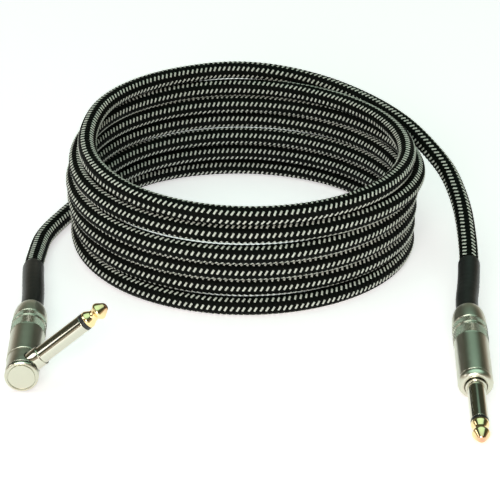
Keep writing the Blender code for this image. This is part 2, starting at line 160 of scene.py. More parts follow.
class PlugSettings(bpy.types.PropertyGroup):
    """Sizes and colours of the two plugs."""
    shell_radius: FloatProperty(name="Shell radius", description="Radius of the smooth barrel", default=0.00625,
                                unit="LENGTH")
    knurl_radius: FloatProperty(name="Knurl radius", description="Radius over the knurled bands", default=0.0065,
                                unit="LENGTH")
    knurl_teeth: IntProperty(name="Knurl teeth", description="Teeth in one ring of a knurled band", default=40,
                             min=12, max=120)
    thread_pitch: FloatProperty(name="Thread pitch", description="Rise of a thread in one turn", default=0.00075,
                                unit="LENGTH")
    satin_nickel: FloatVectorProperty(name="Satin nickel", description="Colour of the barrels", subtype="COLOR",
                                      default=(0.60, 0.595, 0.50))
    bright_nickel: FloatVectorProperty(name="Bright nickel", description="Colour of the shafts and flange",
                                       subtype="COLOR", default=(0.68, 0.66, 0.56))
    gold: FloatVectorProperty(name="Gold", description="Colour of the plated tips", subtype="COLOR",
                              default=(1.0, 0.80, 0.44))


class SleeveSettings(bpy.types.PropertyGroup):
    """Sizes and colour of the heat-shrunk sleeves."""
    radius: FloatProperty(name="Radius", description="Outer radius of the sleeve", default=0.0042, unit="LENGTH")
    rubber: FloatVectorProperty(name="Rubber", description="Colour of the sleeve", subtype="COLOR",
                                default=(0.014, 0.014, 0.014))


class StageSettings(bpy.types.PropertyGroup):
    """The floor and the light."""
    floor: FloatVectorProperty(name="Floor", description="Colour of the floor", subtype="COLOR",
                               default=(0.97, 0.88, 0.92))
    overhead: FloatProperty(name="Overhead light", description="Power of the light above", default=0.15,
                            unit="POWER")
    fill: FloatProperty(name="Fill light", description="Power of the light in front", default=20.0, unit="POWER")


# ---- the cord's centre line ----

def steady_curve(where, knots, values):
    """A curve through the knots that never overshoots them."""
    gap = np.diff(knots)
    slope = np.diff(values) / gap
    ease = np.zeros(len(knots))
    for k in range(1, len(knots) - 1):
        if slope[k - 1] * slope[k] > 0:
            one, two = 2 * gap[k] + gap[k - 1], gap[k] + 2 * gap[k - 1]
            ease[k] = (one + two) / (one / slope[k - 1] + two / slope[k])
    ease[0], ease[-1] = slope[0], slope[-1]
    at = np.clip(np.searchsorted(knots, where) - 1, 0, len(gap) - 1)
    t = (where - knots[at]) / gap[at]
    start = (1 + 2 * t) * (1 - t) ** 2 * values[at] + t * (1 - t) ** 2 * gap[at] * ease[at]
    return start + t * t * (3 - 2 * t) * values[at + 1] + t * t * (t - 1) * gap[at] * ease[at + 1]


def travelled(line):
    """The distance along a line at each of its points."""
    return np.concatenate(([0.0], np.cumsum(np.linalg.norm(np.diff(line, axis=0), axis=1))))


def smooth_line(knots, step):
    """Evenly spaced points on a natural cubic spline through the knots."""
    along = travelled(knots)
    gap = np.diff(along)
    count = len(knots)
    system = np.eye(count)
    bend = np.zeros((count, 3))
    rise = np.diff(knots, axis=0) / gap[:, None]
    for k in range(1, count - 1):
        system[k, k - 1:k + 2] = gap[k - 1], 2 * (gap[k - 1] + gap[k]), gap[k]
        bend[k] = 6 * (rise[k] - rise[k - 1])
    second = np.linalg.solve(system, bend)
    where = np.linspace(0, along[-1], int(along[-1] / (step * 0.25)) + 1)
    at = np.clip(np.searchsorted(along, where) - 1, 0, count - 2)
    t = (where - along[at])[:, None]
    width = gap[at][:, None]
    first = rise[at] - width * (2 * second[at] + second[at + 1]) / 6
    fine = knots[at] + t * first + t ** 2 * second[at] / 2 + t ** 3 * (second[at + 1] - second[at]) / (6 * width)
    reached = travelled(fine)
    even = np.linspace(0, reached[-1], int(reached[-1] / step) + 1)
    return np.stack([np.interp(even, reached, fine[:, k]) for k in range(3)], -1)


def cord_knots():
    """The cord from inside the right-angle plug, round the coil, to inside the straight plug, in metres."""
    turns = [(-50, 67.5, 3.7), (-25, 66.9, 3.7), (1845, 66.6, 40.2), (2160, 71.3, 47.3)]
    for turn in range(6):
        for step, radius, height in zip(TURN_STEPS, TURN_RADII[turn], TURN_HEIGHTS[turn]):
            turns.append((360 * turn + step, radius, height))
    turns = np.array(sorted(turns), float)
    winding = np.arange(-50, 2160.01, 15.0)
    radius = steady_curve(winding, turns[:, 0], turns[:, 1])
    height = steady_curve(winding, turns[:, 0], turns[:, 2])
    heading = np.radians(90 - winding)
    coil = np.stack([radius * np.cos(heading), radius * np.sin(heading), height], -1)
    middle = np.array(COIL_CENTRE)
    in_angle = [ANGLE_CROSSING + ANGLE_BACK * s for s in (0.0225, 0.029, 0.036, 0.0437, 0.051)]
    in_straight = [STRAIGHT_SHOULDER + STRAIGHT_BACK * s for s in (0.052, 0.045, 0.038, 0.031, 0.024)]
    runs = np.concatenate((np.array(LEFT_RUN), coil, np.array(RIGHT_RUN))) * 0.001 + middle
    return np.concatenate((np.array(in_angle), runs, np.array(in_straight)))


CORD_LINE = smooth_line(cord_knots(), 0.002)
CORD_LENGTH = float(np.linalg.norm(np.diff(CORD_LINE, axis=0), axis=1).sum())


# ---- materials ----

def feed(links, socket, value):
    """Sends a number or another node's output to a socket."""
    if isinstance(value, bpy.types.NodeSocket):
        links.new(value, socket)
    elif value is not None:
        socket.default_value = value


def shade(colour, amount):
    """A colour made lighter or darker."""
    return tuple(min(1.0, part * amount) for part in colour)


class Look:
    """A material under construction, with short ways to add to its nodes."""

    def __init__(self, name, colour, roughness, metallic=0.0, **sockets):
        self.material = bpy.data.materials.new(name)
        self.material.use_nodes = True
        self.nodes, self.links = self.material.node_tree.nodes, self.material.node_tree.links
        self.shader = next(node for node in self.nodes if node.type == "BSDF_PRINCIPLED")
        sockets.update(Base_Color=(*colour, 1.0), Roughness=roughness, Metallic=metallic)
        for label, value in sockets.items():
            self.shader.inputs[label.replace("_", " ")].default_value = value

    def node(self, kind, **inputs):
        """A node whose named inputs take numbers or other nodes' outputs."""
        made = self.nodes.new(kind)
        for label, value in inputs.items():
            feed(self.links, made.inputs[label.replace("_", " ")], value)
        return made

    def place(self, kind, scale=None):
        """Object or UV coordinates, scaled differently on each axis if a scale is given."""
        spot = self.node("ShaderNodeTexCoord").outputs[kind]
        return self.node("ShaderNodeMapping", Vector=spot, Scale=scale).outputs["Vector"] if scale else spot

    def noise(self, spot, scale, detail=3.0, roughness=0.55):
        """A noise texture read at a place."""
        return self.node("ShaderNodeTexNoise", Vector=spot, Scale=scale, Detail=detail,
                         Roughness=roughness).outputs["Fac"]

    def roughen(self, factor, low, high):
        """Roughness that runs from low to high."""
        made = self.node("ShaderNodeMapRange", Value=factor, From_Min=0.3, From_Max=0.7, To_Min=low, To_Max=high)
        self.links.new(made.outputs["Result"], self.shader.inputs["Roughness"])

    def tint(self, factor, first, second, spread=(0.3, 0.7)):
        """Base colour that runs from one colour to another."""
        ramp = self.node("ShaderNodeValToRGB", Fac=factor)
        for stop, position, colour in zip(ramp.color_ramp.elements, spread, (first, second)):
            stop.position, stop.color = position, (*colour, 1.0)
        self.links.new(ramp.outputs["Color"], self.shader.inputs["Base Color"])

    def bump(self, factor, strength, distance, under=None):
        """A bump on the shader's normal, laid over another if one is given."""
        made = self.node("ShaderNodeBump", Height=factor, Strength=strength, Distance=distance, Normal=under)
        self.links.new(made.outputs["Normal"], self.shader.inputs["Normal"])
        return made.outputs["Normal"]


def turned_metal(name, colour, roughness, streak, fine, brushed=0.0):
    """Plated metal with the faint rings that turning leaves, and light handling marks."""
    look = Look(name, colour, roughness, 1.0, Anisotropic=brushed)
    if brushed:
        grooves = look.node("ShaderNodeTangent")
        grooves.direction_type = "UV_MAP"
        grooves.uv_map = "surface"
        look.links.new(grooves.outputs["Tangent"], look.shader.inputs["Tangent"])
        look.shader.inputs["Anisotropic Rotation"].default_value = 0.25
    round_lines = look.noise(look.place("UV", (1.5, fine, 1.0)), 1.0, 4.0)
    look.tint(round_lines, shade(colour, 0.95), shade(colour, 1.03))
    look.roughen(look.noise(look.place("Object"), 420.0, 4.0), roughness * 0.94, roughness * 1.08)
    look.bump(round_lines, streak, 0.00002)
    return look.material


def tip_gold(name, colour):
    """Polished plating that is worn to a copper tint at the very end of the tip."""
    look = Look(name, colour, 0.1, 1.0)
    spot = look.node("ShaderNodeSeparateXYZ", Vector=look.place("UV"))
    marks = look.noise(look.place("Object"), 700.0)
    edge = look.node("ShaderNodeMath")
    edge.operation = "MULTIPLY_ADD"
    for socket, value in zip(edge.inputs, (marks, 0.0006, spot.outputs["Y"])):
        feed(look.links, socket, value)
    look.tint(edge.outputs[0], (0.80, 0.40, 0.27), colour, (0.0024, 0.0029))
    look.roughen(marks, 0.08, 0.14)
    look.bump(marks, 0.03, 0.00003)
    return look.material


def plain_metal(name, colour, roughness, grain):
    """Metal without turning lines, read from Object coordinates."""
    look = Look(name, colour, roughness, 1.0)
    marks = look.noise(look.place("Object"), grain, 5.0)
    look.tint(marks, shade(colour, 0.86), shade(colour, 1.08))
    look.roughen(marks, roughness * 0.75, roughness * 1.4)
    look.bump(marks, 0.15, 0.00005)
    return look.material


def moulded(name, colour, roughness, grain, **sockets):
    """Moulded plastic or rubber with a fine grain."""
    look = Look(name, colour, roughness, 0.0, **sockets)
    fine = look.noise(look.place("Object"), grain, 4.0, 0.6)
    look.tint(look.noise(look.place("Object"), grain * 0.06, 2.0), shade(colour, 0.8), shade(colour, 1.3))
    look.roughen(fine, roughness * 0.85, roughness * 1.2)
    look.bump(fine, 0.25, 0.00006)
    return look.material


def yarn(name, colour, roughness, strands, sheen, gloss):
    """Twisted yarn: fine filaments along each fleck, with a little change from one to the next."""
    look = Look(name, colour, roughness, Sheen_Weight=sheen, Sheen_Roughness=0.4, Specular_IOR_Level=gloss)
    filaments = look.noise(look.place("UV", (2.0, strands, 1.0)), 1.0, 3.0)
    look.tint(look.noise(look.place("Object"), 900.0, 2.0), shade(colour, 0.82), shade(colour, 1.12))
    look.roughen(filaments, roughness * 0.85, roughness * 1.2)
    look.bump(filaments, 0.35, 0.00005)
    return look.material


def braid_ground(name, colour):
    """The black weave under the flecks: fine yarns at two slants."""
    look = Look(name, colour, 0.62, Specular_IOR_Level=0.04)
    weave = look.node("ShaderNodeTexWave", Vector=look.place("UV", (1100.0, 9.0, 1.0)), Scale=1.0, Distortion=0.6,
                      Detail=1.0)
    weave.wave_type = "BANDS"
    weave.bands_direction = "DIAGONAL"
    fluff = look.noise(look.place("Object"), 2600.0, 3.0)
    look.tint(weave.outputs["Fac"], shade(colour, 0.5), shade(colour, 1.4))
    look.roughen(fluff, 0.5, 0.75)
    look.bump(fluff, 0.2, 0.00005, look.bump(weave.outputs["Fac"], 0.5, 0.0001))
    return look.material


# ---- meshes ----

def linked(name, data):
    """A new object in the scene."""
    made = bpy.data.objects.new(name, data)
    bpy.context.scene.collection.objects.link(made)
    return made


def evaluated_mesh(made):
    """The plain mesh that an object's modifiers give."""
    made.update_tag()
    bpy.context.view_layer.update()
    return bpy.data.meshes.new_from_object(made.evaluated_get(bpy.context.evaluated_depsgraph_get()))


def piece(name, mesh, material, body, stands_for=()):
    """Puts a finished mesh in the scene, on its body."""
    mesh.name = name
    mesh.materials.clear()
    mesh.materials.append(material)
    made = linked(name, mesh)
    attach(made, body)
    if stands_for:
        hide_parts(*stands_for)
    return made


def smooth(mesh, angle=34.0):
    """Smooth shading, with edges sharper than the angle kept."""
    mesh.shade_smooth()
    mesh.set_sharp_from_angle(angle=math.radians(angle))
    return mesh


def plug_place(at, back, aside=None):
    """The matrix of a plug's own frame: local Z runs back along it."""
    z_axis = back.normalized()
    side = aside if aside is not None else z_axis.cross(Vector((0.0, 0.0, 1.0)))
    x_axis = (side - z_axis * side.dot(z_axis)).normalized()
    turn = Matrix((x_axis, z_axis.cross(x_axis), z_axis)).transposed()
    return Matrix.Translation(at) @ turn.to_4x4()


PLACES = {
    "straight": plug_place(STRAIGHT_SHOULDER, STRAIGHT_BACK),
    "angle": plug_place(ANGLE_CROSSING, ANGLE_BACK, ANGLE_SHAFT),
    "angle_shaft": plug_place(ANGLE_CROSSING + ANGLE_SHAFT * 0.0091, -ANGLE_SHAFT, ANGLE_BACK),
}


def eased(outline, size):
    """The outline with each corner rounded a little; corners on the axis stay."""
    points = [Vector(point) for point in outline]
    closed = outline[0][0] > 0.0 or outline[-1][0] > 0.0
    result = []
    for k, here in enumerate(points):
        if not closed and k in (0, len(points) - 1):
            result.append(here)
            continue
        before, after = points[k - 1], points[(k + 1) % len(points)]
        back, ahead = before - here, after - here
        turn = math.pi - back.angle(ahead, 0.0)
        if turn < math.radians(12):
            result.append(here)
            continue
        cut = min(size, back.length * 0.42, ahead.length * 0.42)
        start, end = here + back.normalized() * cut, here + ahead.normalized() * cut
        for t in (0.0, 0.25, 0.5, 0.75, 1.0):
            result.append(start * (1 - t) ** 2 + here * 2 * t * (1 - t) + end * t ** 2)
    return result


def ring_of(bm, centre, side, up, radius, facets):
    """A ring of corners round a centre, or the centre itself where the radius is nothing."""
    if radius < 1e-7:
        return [bm.verts.new(centre)] * facets
    return [bm.verts.new(centre + side * (radius * math.cos(math.tau * k / facets))
                         + up * (radius * math.sin(math.tau * k / facets))) for k in range(facets)]


def skinned(bm, layer, rings, stations, along_first):
    """Faces from each ring to the next, with a UV map that runs round and along them."""
    facets = len(rings[0])
    for row, (one, two) in enumerate(zip(rings, rings[1:])):
        for k in range(facets):
            after = (k + 1) % facets
            corners = []
            for corner in ((one[k], k, row), (one[after], k + 1, row), (two[after], k + 1, row + 1),
                           (two[k], k, row + 1)):
                if all(corner[0] is not other[0] for other in corners):
                    corners.append(corner)
            face = bm.faces.new([corner[0] for corner in corners])
            for loop, corner in zip(face.loops, corners):
                spot = (corner[1] / facets, stations[corner[2]])
                loop[layer].uv = spot[::-1] if along_first else spot


def finished_mesh(bm, name, outward=False):
    """The mesh of a finished construction, turned right side out where it may not be."""
    if outward and bm.calc_volume(signed=True) < 0:
        bmesh.ops.reverse_faces(bm, faces=bm.faces)
    mesh = bpy.data.meshes.new(name)
    bm.to_mesh(mesh)
    bm.free()
    return mesh


def turned(outline, place, size=0.00018, facets=FACETS):
    """A lathe mesh with eased corners. An outline that leaves the axis is closed on itself."""
    points = eased(outline, size)
    bm = bmesh.new()
    layer = bm.loops.layers.uv.new("surface")
    x_axis, y_axis = Vector((1.0, 0.0, 0.0)), Vector((0.0, 1.0, 0.0))
    rings = [ring_of(bm, Vector((0.0, 0.0, point[1])), x_axis, y_axis, point[0], facets) for point in points]
    if outline[0][0] > 0.0 or outline[-1][0] > 0.0:
        points, rings = points + points[:1], rings + rings[:1]
    stations = [0.0]
    for one, two in zip(points, points[1:]):
        stations.append(stations[-1] + (two - one).length)
    skinned(bm, layer, rings, stations, False)
    mesh = finished_mesh(bm, "turned", True)
    mesh.transform(place)
    return smooth(mesh)


def swept(line, outline, facets):
    """A closed mesh round a centre line: outline is (distance along, radius) points, from end to end."""
    along = travelled(line)
    heading = np.gradient(line, along, axis=0)
    bm = bmesh.new()
    layer = bm.loops.layers.uv.new("surface")
    rings = []
    for distance, radius in outline:
        centre = Vector([np.interp(distance, along, line[:, k]) for k in range(3)])
        ahead = Vector([np.interp(distance, along, heading[:, k]) for k in range(3)]).normalized()
        side = Vector((ahead.y, -ahead.x, 0.0)).normalized()
        rings.append(ring_of(bm, centre, side, ahead.cross(side), radius, facets))
    skinned(bm, layer, rings, [distance for distance, radius in outline], True)
    return smooth(finished_mesh(bm, "swept", True), 50.0)


# ---- node trees for what repeats ----

class Tree:
    """A geometry node tree with named inputs, and short ways to add to it."""

    def __init__(self, name, sockets):
        self.group = bpy.data.node_groups.new(name, "GeometryNodeTree")
        self.group.interface.new_socket("Geometry", in_out="OUTPUT", socket_type="NodeSocketGeometry")
        self.ids = {}
        for label, kind in sockets:
            made = self.group.interface.new_socket(label, in_out="INPUT", socket_type="NodeSocket" + kind)
            self.ids[label] = made.identifier
        self.start = self.group.nodes.new("NodeGroupInput")
        self.end = self.group.nodes.new("NodeGroupOutput")

    def send(self, socket, value):
        """Sends a number, another node's output, or the tree's input of that name to a socket."""
        feed(self.group.links, socket, self.start.outputs[value] if isinstance(value, str) else value)

    def node(self, kind, **settings):
        """A node with its settings."""
        made = self.group.nodes.new(kind)
        for setting, value in settings.items():
            setattr(made, setting, value)
        return made

    def add(self, kind, *values, **settings):
        """The outputs of a node with its settings, whose inputs are given in order."""
        node = self.node(kind, **settings)
        for socket, value in zip([socket for socket in node.inputs if socket.enabled], values):
            self.send(socket, value)
        return [socket for socket in node.outputs if socket.enabled]

    def wired(self, kind, inputs, **settings):
        """The outputs of a node with its settings, whose inputs are given by name."""
        node = self.node(kind, **settings)
        for label, value in inputs.items():
            self.send(node.inputs[label], value)
        return node.outputs

    def repeat(self, points, shape, rotation, scale):
        """A shape laid at each point."""
        return self.wired("GeometryNodeInstanceOnPoints", {"Points": points, "Instance": shape,
                                                           "Rotation": rotation, "Scale": scale})[0]

    def math(self, operation, *values):
        """The result of one arithmetic node."""
        return self.add("ShaderNodeMath", *values, operation=operation)[0]

    def close(self, geometry, material):
        """Realises the geometry, gives it its material, and ends the tree."""
        real = self.add("GeometryNodeRealizeInstances", geometry)[0]
        painted = self.add("GeometryNodeSetMaterial", real, None, material)[0]
        self.group.links.new(painted, self.end.inputs[0])

    def mesh(self, values):
        """The plain mesh that the tree makes with these input values."""
        holder = linked("holder", bpy.data.meshes.new("holder"))
        modifier = holder.modifiers.new("build", "NODES")
        modifier.node_group = self.group
        for label, value in values.items():
            modifier[self.ids[label]] = value
        mesh = evaluated_mesh(holder)
        holder.modifiers.remove(modifier)
        bpy.data.objects.remove(holder)
        return mesh


def pad_object():
    """One low, rounded pad of yarn, a unit long and wide, that the braid repeats."""
    bm = bmesh.new()
    layer = bm.loops.layers.uv.new("surface")
    ring = [(0.5, 0.24), (0.40, 0.5), (-0.40, 0.5), (-0.5, 0.24), (-0.5, -0.24), (-0.40, -0.5), (0.40, -0.5),
            (0.5, -0.24)]
    low = [bm.verts.new((x, y, -0.6)) for x, y in ring]
    high = [bm.verts.new((x * 0.8, y * 0.62, 0.72)) for x, y in ring]
    crown = [bm.verts.new((0.24, 0.0, 1.0)), bm.verts.new((-0.24, 0.0, 1.0))]
    for k in range(8):
        after = (k + 1) % 8
        bm.faces.new((low[k], low[after], high[after], high[k]))
    front, back = crown
    for corners in ((high[0], high[1], front), (high[1], high[2], back, front), (high[2], high[3], back),
                    (high[3], high[4], back), (high[4], high[5], back), (high[5], high[6], front, back),
                    (high[6], high[7], front), (high[7], high[0], front)):
        bm.faces.new(corners)
    bm.faces.new(low[::-1])
    for face in bm.faces:
        for loop in face.loops:
            loop[layer].uv = (loop.vert.co.x, loop.vert.co.y)
    return helper("yarn_pad", finished_mesh(bm, "yarn_pad"))


def tooth_object():
    """One blunt diamond tooth, a unit round and along, that a knurl repeats."""
    bm = bmesh.new()
    base = [bm.verts.new(place) for place in ((-0.4, 1.0, 0.0), (-0.4, 0.0, 1.0), (-0.4, -1.0, 0.0),
                                              (-0.4, 0.0, -1.0))]
    top = [bm.verts.new((1.0, vert.co.y * 0.16, vert.co.z * 0.16)) for vert in base]
    for k in range(4):
        after = (k + 1) % 4
        bm.faces.new((base[k], base[after], top[after], top[k]))
    bm.faces.new(top)
    bm.faces.new(base[::-1])
    bmesh.ops.recalc_face_normals(bm, faces=bm.faces)
    return helper("knurl_tooth", finished_mesh(bm, "knurl_tooth"))


def helper(name, data):
    """A hidden object that a node tree reads."""
    made = linked(name, data)
    made.hide_render = True
    return made


def line_object():
    """The cord's centre line as a curve whose frame stays level."""
    curve = bpy.data.curves.new("cord_line", "CURVE")
    curve.dimensions = "3D"
    curve.twist_mode = "Z_UP"
    spline = curve.splines.new("POLY")
    spline.points.add(len(CORD_LINE) - 1)
    spline.points.foreach_set("co", np.column_stack((CORD_LINE, np.ones(len(CORD_LINE)))).ravel())
    return helper("cord_line", curve)


def braid_tree():
    """Pads of yarn in slanting rows, wrapped round a line."""
    tree = Tree("Braid", (("Line", "Object"), ("Pad", "Object"), ("Count", "Int"), ("Rows", "Int"),
                          ("First", "Float"), ("Pitch", "Float"), ("Row Phase", "Float"), ("Radius", "Float"),
                          ("Length", "Float"), ("Width", "Float"), ("Height", "Float"), ("Lean", "Float"),
                          ("Twist", "Float"), ("End From", "Float"), ("End Turn", "Float"), ("Tail From", "Float"),
                          ("Tail Turn", "Float"), ("Seed", "Int"), ("Material", "Material")))
    index = tree.add("GeometryNodeInputIndex")[0]
    row = tree.math("MODULO", index, "Rows")
    column = tree.math("FLOOR", tree.math("DIVIDE", index, "Rows"))
    loose = tree.add("FunctionNodeRandomValue", -0.045, 0.045, None, "Seed", data_type="FLOAT")[0]
    place = tree.math("ADD", tree.math("SUBTRACT", column, "Row Phase"), loose)
    along = tree.math("ADD", "First", tree.math("MULTIPLY", place, "Pitch"))
    step = tree.math("DIVIDE", math.tau, "Rows")
    turn = tree.math("ADD", tree.math("MULTIPLY", tree.math("ADD", row, "Row Phase"), step),
                     tree.math("MULTIPLY", along, "Twist"))
    for part in ("End", "Tail"):
        reached = tree.add("ShaderNodeMath", tree.math("SUBTRACT", along, part + " From"), ROW_EASE,
                           operation="DIVIDE", use_clamp=True)[0]
        turn = tree.math("ADD", turn, tree.math("MULTIPLY", reached, part + " Turn"))
    flat = tree.add("ShaderNodeCombineXYZ", along, tree.math("MULTIPLY", turn, "Radius"), 0.0)[0]
    points = tree.add("GeometryNodePoints", "Count", flat)[0]
    pad = tree.add("GeometryNodeObjectInfo", "Pad")
    size = tree.add("FunctionNodeRandomValue", 0.92, 1.08, None, 7, data_type="FLOAT")[0]
    scale = tree.add("ShaderNodeCombineXYZ", tree.math("MULTIPLY", "Length", size),
                     "Width", "Height")[0]
    sway = tree.add("FunctionNodeRandomValue", -0.05, 0.05, None, 11, data_type="FLOAT")[0]
    lean = tree.add("ShaderNodeCombineXYZ", 0.0, 0.0, tree.math("ADD", "Lean", sway))[0]
    real = tree.add("GeometryNodeRealizeInstances", tree.repeat(points, pad[-1], lean, scale))[0]
    spot = tree.add("ShaderNodeSeparateXYZ", tree.add("GeometryNodeInputPosition")[0])
    line = tree.add("GeometryNodeObjectInfo", "Line")
    sample = tree.wired("GeometryNodeSampleCurve", {"Curves": line[-1], "Length": spot[0]}, mode="LENGTH",
                        use_all_curves=True)
    centre, ahead, side = (sample[label] for label in ("Position", "Tangent", "Normal"))
    up = tree.add("ShaderNodeVectorMath", ahead, side, operation="CROSS_PRODUCT")[0]
    angle = tree.math("DIVIDE", spot[1], "Radius")
    out = tree.math("ADD", spot[2], "Radius")
    parts = []
    for direction, wave in ((side, "COSINE"), (up, "SINE")):
        reach = tree.math("MULTIPLY", tree.math(wave, angle), out)
        parts.append(tree.wired("ShaderNodeVectorMath", {"Vector": direction, "Scale": reach}, operation="SCALE")[0])
    ring = tree.add("ShaderNodeVectorMath", parts[0], parts[1], operation="ADD")[0]
    final = tree.add("ShaderNodeVectorMath", centre, ring, operation="ADD")[0]
    wrapped = tree.add("GeometryNodeSetPosition", real, None, final)[0]
    tree.close(wrapped, "Material")
    return tree


def knurl_tree():
    """Diamond teeth in staggered rings round local Z."""
    tree = Tree("Knurl", (("Tooth", "Object"), ("Teeth", "Int"), ("Rings", "Int"), ("Radius", "Float"),
                          ("Low", "Float"), ("Length", "Float"), ("Height", "Float"), ("Material", "Material")))
    index = tree.add("GeometryNodeInputIndex")[0]
    ring = tree.math("FLOOR", tree.math("DIVIDE", index, "Teeth"))
    tooth = tree.math("MODULO", index, "Teeth")
    offset = tree.math("MULTIPLY", tree.math("MODULO", ring, 2.0), 0.5)
    turn = tree.math("DIVIDE", tree.math("MULTIPLY", tree.math("ADD", tooth, offset), math.tau),
                     "Teeth")
    rise = tree.math("DIVIDE", "Length", tree.math("ADD", "Rings", 1.0))
    height = tree.math("ADD", "Low", tree.math("MULTIPLY", tree.math("ADD", ring, 1.0), rise))
    across = tree.math("MULTIPLY", tree.math("COSINE", turn), "Radius")
    aside = tree.math("MULTIPLY", tree.math("SINE", turn), "Radius")
    count = tree.math("MULTIPLY", "Teeth", "Rings")
    points = tree.add("GeometryNodePoints", count, tree.add("ShaderNodeCombineXYZ", across, aside, height)[0])[0]
    half = tree.math("DIVIDE", tree.math("MULTIPLY", "Radius", math.pi), "Teeth")
    size = tree.add("ShaderNodeCombineXYZ", "Height", half, rise)[0]
    spin = tree.add("ShaderNodeCombineXYZ", 0.0, 0.0, turn)[0]
    shape = tree.add("GeometryNodeObjectInfo", "Tooth")
    tree.close(tree.repeat(points, shape[-1], spin, size), "Material")
    return tree


def thread_tree():
    """A ridge that winds along local Z."""
    tree = Tree("Thread", (("Radius", "Float"), ("Low", "Float"), ("Turns", "Float"), ("Pitch", "Float"),
                           ("Depth", "Float"), ("Material", "Material")))
    height = tree.math("MULTIPLY", "Turns", "Pitch")
    spiral = tree.wired("GeometryNodeCurveSpiral", {"Resolution": 40, "Rotations": "Turns", "Start Radius": "Radius",
                                                    "End Radius": "Radius", "Height": height})[0]
    profile = tree.wired("GeometryNodeCurvePrimitiveCircle", {"Resolution": 4, "Radius": "Depth"})["Curve"]
    ridge = tree.wired("GeometryNodeCurveToMesh", {"Curve": spiral, "Profile Curve": profile, "Fill Caps": True})[0]
    lift = tree.add("ShaderNodeCombineXYZ", 0.0, 0.0, "Low")[0]
    moved = tree.wired("GeometryNodeTransform", {"Geometry": ridge, "Translation": lift})[0]
    tree.close(moved, "Material")
    return tree


# ---- pieces ----

def kept(maker, name, *values, **sockets):
    """A material that is made once and shared."""
    return bpy.data.materials.get(name) or maker(name, *values, **sockets)


def satin():
    """The barrels' nickel."""
    colour = tuple(bpy.context.scene.cable_plug.satin_nickel)
    return kept(turned_metal, "satin nickel", colour, 0.3, 0.015, 9000.0, 0.75)


def knurled():
    """The barrels' nickel made darker for the knurled bands and threads, as painted shade among their teeth and
    grooves.
    """
    # Same metal as the barrels, darkened to 0.72 of its colour: painted shade, not a different finish.
    colour = shade(bpy.context.scene.cable_plug.satin_nickel, 0.72)
    return kept(plain_metal, "knurled nickel", colour, 0.22, 900.0)


def bright():
    """The shafts' and the flange's nickel."""
    colour = tuple(bpy.context.scene.cable_plug.bright_nickel)
    return kept(turned_metal, "bright nickel", colour, 0.09, 0.004, 6000.0)


def tree_piece(tree, values, name, material, body, place):
    """Runs a tree, puts its mesh in its plug's frame, and makes the piece."""
    mesh = tree.mesh({**values, "Material": material})
    if place is not None:
        mesh.transform(place)
    return piece(name, mesh, material, body)


def knurl_piece(side, ending, body, tree, tooth, rings, low, length):
    """The teeth of one knurled band."""
    plug = bpy.context.scene.cable_plug
    values = {"Tooth": tooth, "Teeth": plug.knurl_teeth, "Rings": rings, "Radius": plug.knurl_radius - KNURL_DEPTH,
              "Low": low, "Length": length, "Height": KNURL_DEPTH}
    tree_piece(tree, values, side + ending, knurled(), body, PLACES[side])


def thread_piece(side, ending, body, tree, turns, low):
    """The ridge of one thread."""
    values = {"Radius": SPIGOT_R, "Low": low, "Turns": turns, "Pitch": bpy.context.scene.cable_plug.thread_pitch,
              "Depth": THREAD_DEPTH}
    tree_piece(tree, values, side + ending, knurled(), body, PLACES[side])


def joined(mesh):
    """Merges the doubled points of a mesh whose two ends meet."""
    bm = bmesh.new()
    bm.from_mesh(mesh)
    bmesh.ops.remove_doubles(bm, verts=bm.verts, dist=1e-8)
    bm.to_mesh(mesh)
    bm.free()


class CABLE_OT_cord(bpy.types.Operator):
    """Build the braided cord, with its silver flecks and black yarns"""
    bl_idname = "cable.cord"
    bl_label = "Braided Cord"

    def execute(self, context):
        cord = context.scene.cable_cord
        radius = cord.diameter / 2 - BRAID_INSET
        steps = np.linspace(0.0, CORD_LENGTH, int(CORD_LENGTH / BRAID_STATION) + 1)
        outline = [(0.0, 0.0)] + [(float(s), radius) for s in steps] + [(CORD_LENGTH, 0.0)]
        ground = braid_ground("braid ground", tuple(cord.black))
        core = piece("cord_braid", swept(CORD_LINE, outline, 20), ground, ROOT,
                     ("cable_coil", "cable_tail_straight", "cable_tail_angle"))
        line, pad, tree = line_object(), pad_object(), braid_tree()
        columns = int(CORD_LENGTH / cord.pitch) - 2
        half = columns // 2
        silver = yarn("silver yarn", tuple(cord.silver), 0.42, 9.0, 0.05, 0.4)
        black = yarn("black yarn", tuple(cord.black), 0.5, 9.0, 0.0, 0.05)
        kinds = (("silver_flecks", silver, 0.0, cord.fleck_length, cord.fleck_width, 0.00022),
                 ("black_yarns", black, 0.5, 0.0027, 0.00152, 0.00017))
        for name, material, phase, length, width, height in kinds:
            for part, (first, count) in enumerate(((1, half), (1 + half, columns - half - 1))):
                values = {"Line": line, "Pad": pad, "Count": count * cord.rows, "Rows": cord.rows,
                          "First": first * cord.pitch, "Pitch": cord.pitch, "Row Phase": phase,
                          "Radius": radius, "Length": length, "Width": width, "Height": height,
                          "Lean": cord.lean, "Twist": cord.twist, "End Turn": cord.end_turn,
                          "Tail Turn": cord.tail_turn, "Seed": 3 + part, **ROW_TURNS_FROM}
                made = tree_piece(tree, values, f"{name}_{part + 1}", material, ROOT, None)
                smooth(made.data, 70.0)
        for spare in (line, pad):
            bpy.data.objects.remove(spare)
        return {"FINISHED"}


